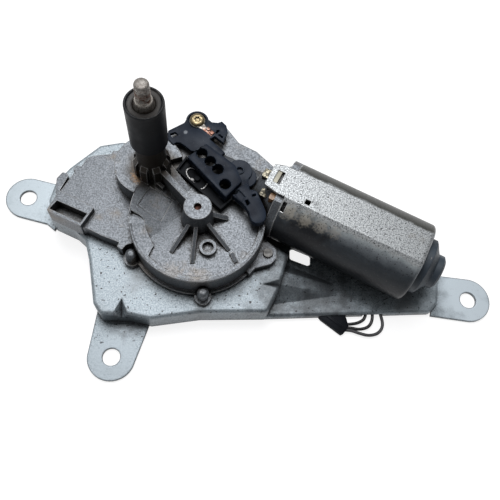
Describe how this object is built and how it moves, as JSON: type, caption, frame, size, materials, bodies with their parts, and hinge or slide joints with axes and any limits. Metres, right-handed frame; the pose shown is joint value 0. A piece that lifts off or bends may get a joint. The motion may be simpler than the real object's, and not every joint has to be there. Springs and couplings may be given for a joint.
{
  "type": "wiper motor",
  "caption": "Rear wiper motor: worm gearbox with a tall spindle tower, motor in a steel can, and a pressed three-eared bracket.",
  "frame": {"origin": "on the wiper spindle's axis, where its thread begins above the cone", "axes": "+Z along the spindle, out of the gearbox; +X along the bracket's long front edge, towards the motor's end; +Y away from the front ear"},
  "size_m": [0.3089, 0.1618, 0.1195],
  "materials": {
    "bracket": "zinc-plated sheet, satin",
    "housing": "bare casting, matte and stained",
    "cover": "satin sheet",
    "screw": "satin",
    "brass_screw": "yellow-plated steel, satin",
    "spindle": "ground steel, polished",
    "bush": "sintered bronze, matte",
    "sleeve": "moulded rubber, matte",
    "link": "stamped steel, satin",
    "pin": "ground steel",
    "wheel": "acetal, off-white",
    "shaft": "ground steel, polished",
    "worm": "rolled steel, bright",
    "stack": "laminated iron, dark",
    "winding": "enamelled copper wire",
    "commutator": "copper bars, bright",
    "can": "zinc-plated drawn steel, satin",
    "magnet": "ferrite, matte",
    "boot": "moulded rubber, matte",
    "plastic": "moulded plastic, blue-black",
    "carrier": "moulded plastic, black",
    "brush": "carbon, matte",
    "spring": "spring wire, bright",
    "copper": "bare copper strip",
    "brass": "bare brass, dull with bright edges",
    "amber": "dipped resin, amber-brown",
    "ivory": "moulded plastic, ivory",
    "lead_black": "soft insulation, black",
    "lead_grey": "soft insulation, dark grey"
  },
  "bodies": {
    "housing": {"bracket": "bracket", "gear_housing": "housing", "base_cover": "cover", "cover_screws": "screw", "bracket_screws": "screw", "ear_rivet": "screw", "upper_spindle_bush": "bush", "lower_spindle_bush": "bush", "spindle_sleeve": "sleeve", "wheel_axle": "pin", "wheel_clip": "spring", "motor_can": "can", "magnets": "magnet", "nose_bearing": "bush", "front_bearing": "bush", "rear_bearing": "bush", "end_boot": "boot", "can_screws": "screw", "brush_terminals": "brass", "suppressor": "amber", "brush_carrier": "carrier", "brushes": "brush", "brush_springs": "spring", "contact_plate": "plastic", "contact_frame": "carrier", "spring_clip": "spring", "plate_screw": "brass_screw", "terminal_strip": "copper", "terminal_insulator": "ivory", "lead_a": "lead_black", "lead_b": "lead_black", "lead_c": "lead_grey", "connector_block": "plastic", "lead_grommet": "boot"},
    "armature": {"armature_shaft": "shaft", "worm": "worm", "lamination_stack": "stack", "windings": "winding", "commutator": "commutator"},
    "wheel": {"worm_wheel": "wheel", "crank_pin": "pin"},
    "spindle": {"spindle": "spindle", "spindle_lever": "link", "lever_pin": "pin"},
    "rod": {"connecting_rod": "link"}
  },
  "joints": [
    {"name": "armature_spin", "type": "hinge", "parent": "housing", "child": "armature", "pos_m": [0.04492, 0.00392, -0.078], "axis": [0.887, -0.4617, 0], "continuous": true},
    {"name": "wheel_spin", "type": "hinge", "parent": "housing", "child": "wheel", "pos_m": [0.027, -0.0305, -0.08], "axis": [0, 0, 1], "continuous": true},
    {"name": "spindle_sweep", "type": "hinge", "parent": "housing", "child": "spindle", "pos_m": [0, 0, 0], "axis": [0, 0, 1], "range_deg": [0, 105]},
    {"name": "rod_swing", "type": "hinge", "parent": "spindle", "child": "rod", "pos_m": [-0.0126, 0.0032, -0.087], "axis": [0, 0, 1], "range_deg": [-98, 0]}
  ],
  "couplings": [
    {"joint": "wheel_spin", "follows": "armature_spin", "ratio": 0.016667},
    {"joint": "rod_swing", "follows": "spindle_sweep", "ratio": -0.93113}
  ]
}
